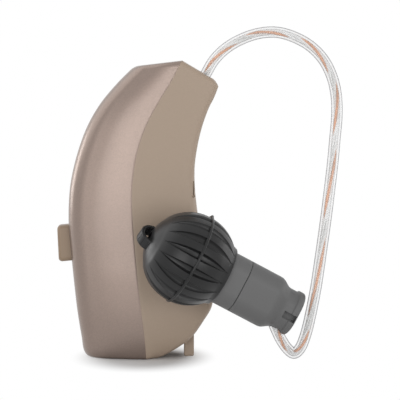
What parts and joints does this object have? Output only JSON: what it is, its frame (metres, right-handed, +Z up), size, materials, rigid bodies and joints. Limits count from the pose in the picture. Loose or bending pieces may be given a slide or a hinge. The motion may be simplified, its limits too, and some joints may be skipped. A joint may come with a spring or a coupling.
{
  "type": "behind the ear hearing aid",
  "caption": "Hearing aid body that sits behind the ear, with push button, battery drawer, clear ear wire, speaker and ribbed silicone dome.",
  "frame": {"origin": "centre of the flat base of the body, in the body's symmetry plane", "axes": "+X from the back of the body to its front, +Z up, and the ear unit hangs on -Y"},
  "size_m": [0.0281, 0.0167, 0.0329],
  "materials": {
    "pearl_lacquer": "metallic lacquer over plastic, glossy",
    "tan_plastic": "fine matt paint",
    "button_plastic": "satin",
    "drawer_plastic": "fine matt paint",
    "chassis_nylon": "moulded, satin",
    "socket_nylon": "moulded, satin",
    "plug_plastic": "satin",
    "speaker_plastic": "moulded, matt",
    "guard_plastic": "satin",
    "board_laminate": "solder mask, satin",
    "chip_epoxy": "matt",
    "capacitor_ceramic": "matt",
    "cell_seal": "satin",
    "clear_tube": "clear, smooth",
    "seal_rubber": "matt",
    "dome_silicone": "moulded silicone, satin",
    "steel_sheet": "satin",
    "cell_steel": "nickel plated, satin",
    "pin_steel": "ground",
    "zinc_gel": "matt",
    "copper_wire": "bright",
    "silver_wire": "bright",
    "gold_foil": "bright",
    "gold_spring": "bright"
  },
  "bodies": {
    "aid": {"back_cover": "pearl_lacquer", "front_housing": "tan_plastic", "chassis": "chassis_nylon", "circuit_board": "board_laminate", "signal_processor": "chip_epoxy", "radio_chip": "chip_epoxy", "board_capacitors": "capacitor_ceramic", "front_microphone": "steel_sheet", "rear_microphone": "steel_sheet", "microphone_seals": "seal_rubber", "microphone_screens": "steel_sheet", "telecoil": "copper_wire", "antenna": "gold_foil", "tactile_switch": "steel_sheet", "hinge_pin": "pin_steel", "positive_contact": "gold_spring", "negative_contact": "gold_spring", "wire_socket": "socket_nylon", "lock_pin": "pin_steel", "wire_plug": "plug_plastic", "plug_contacts": "gold_spring", "ear_wire_tube": "clear_tube", "copper_lead": "copper_wire", "silver_lead": "silver_wire", "signal_lead": "silver_wire", "speaker_rear_shell": "speaker_plastic", "speaker_front_shell": "speaker_plastic", "speaker_capsule": "steel_sheet", "capsule_cushion": "seal_rubber", "terminal_board": "board_laminate", "sound_spout": "steel_sheet", "wax_guard": "guard_plastic"},
    "button": {"push_button": "button_plastic"},
    "drawer": {"battery_drawer": "drawer_plastic", "battery_can": "cell_steel", "zinc_paste": "zinc_gel", "battery_seal": "cell_seal", "battery_cap": "cell_steel"},
    "dome": {"ear_dome": "dome_silicone"}
  },
  "joints": [
    {"name": "button_press", "type": "slide", "parent": "aid", "child": "button", "axis": [0.9955, 0, 0.0948], "range_m": [0, 0.0003], "stiffness_N_per_m": 3000},
    {"name": "battery_drawer_swing", "type": "hinge", "parent": "aid", "child": "drawer", "pos_m": [0.00662, 0, 0.01617], "axis": [0, -1, 0], "range_deg": [0, 70]},
    {"name": "dome_pull", "type": "slide", "parent": "aid", "child": "dome", "axis": [-0.868, -0.1375, 0.4772], "range_m": [0, 0.008]}
  ]
}
